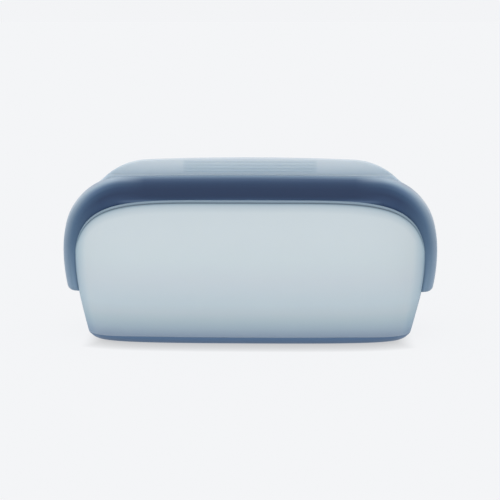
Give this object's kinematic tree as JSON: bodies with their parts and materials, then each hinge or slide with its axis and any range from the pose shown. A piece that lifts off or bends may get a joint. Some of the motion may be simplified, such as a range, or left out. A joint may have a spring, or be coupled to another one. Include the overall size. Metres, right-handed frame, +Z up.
{
  "type": "reusable silicone food bag",
  "caption": "Stand-up silicone food bag with an oval foot, pillow-shaped walls, an arched pinch seal and a ribbed pull tab.",
  "frame": {"origin": "centre of the underside of the foot pad", "axes": "+X along the bag's width, +Y towards the back and the pull tab's side, +Z up from the floor"},
  "size_m": [0.2, 0.0756, 0.0937],
  "materials": {
    "pale_silicone": "satin",
    "deep_blue_silicone": "satin"
  },
  "bodies": {
    "tub_body": {"base_pad": "deep_blue_silicone", "tub": "pale_silicone", "left_ear": "deep_blue_silicone", "right_ear": "deep_blue_silicone"},
    "front_flap": {"front_panel": "pale_silicone", "front_rim": "pale_silicone", "front_seal_lip": "deep_blue_silicone"},
    "back_flap": {"back_panel": "pale_silicone", "back_rim": "pale_silicone", "back_seal_lip": "deep_blue_silicone", "seal_ridge": "deep_blue_silicone", "back_flange": "pale_silicone"},
    "tab": {"pull_tab": "pale_silicone", "grip_ribs": "pale_silicone"}
  },
  "joints": [
    {"name": "front_opening", "type": "hinge", "parent": "tub_body", "child": "front_flap", "pos_m": [0, -0.03611, 0.03415], "axis": [1, 0, 0], "range_deg": [0, 25], "stiffness_Nm_per_rad": 0.02},
    {"name": "back_opening", "type": "hinge", "parent": "tub_body", "child": "back_flap", "pos_m": [0, 0.03611, 0.03415], "axis": [-1, 0, 0], "range_deg": [0, 25], "stiffness_Nm_per_rad": 0.02},
    {"name": "tab_bend", "type": "hinge", "parent": "back_flap", "child": "tab", "pos_m": [0, 0.00315, 0.086], "axis": [-1, 0, 0], "range_deg": [-35, 60], "stiffness_Nm_per_rad": 0.004}
  ]
}
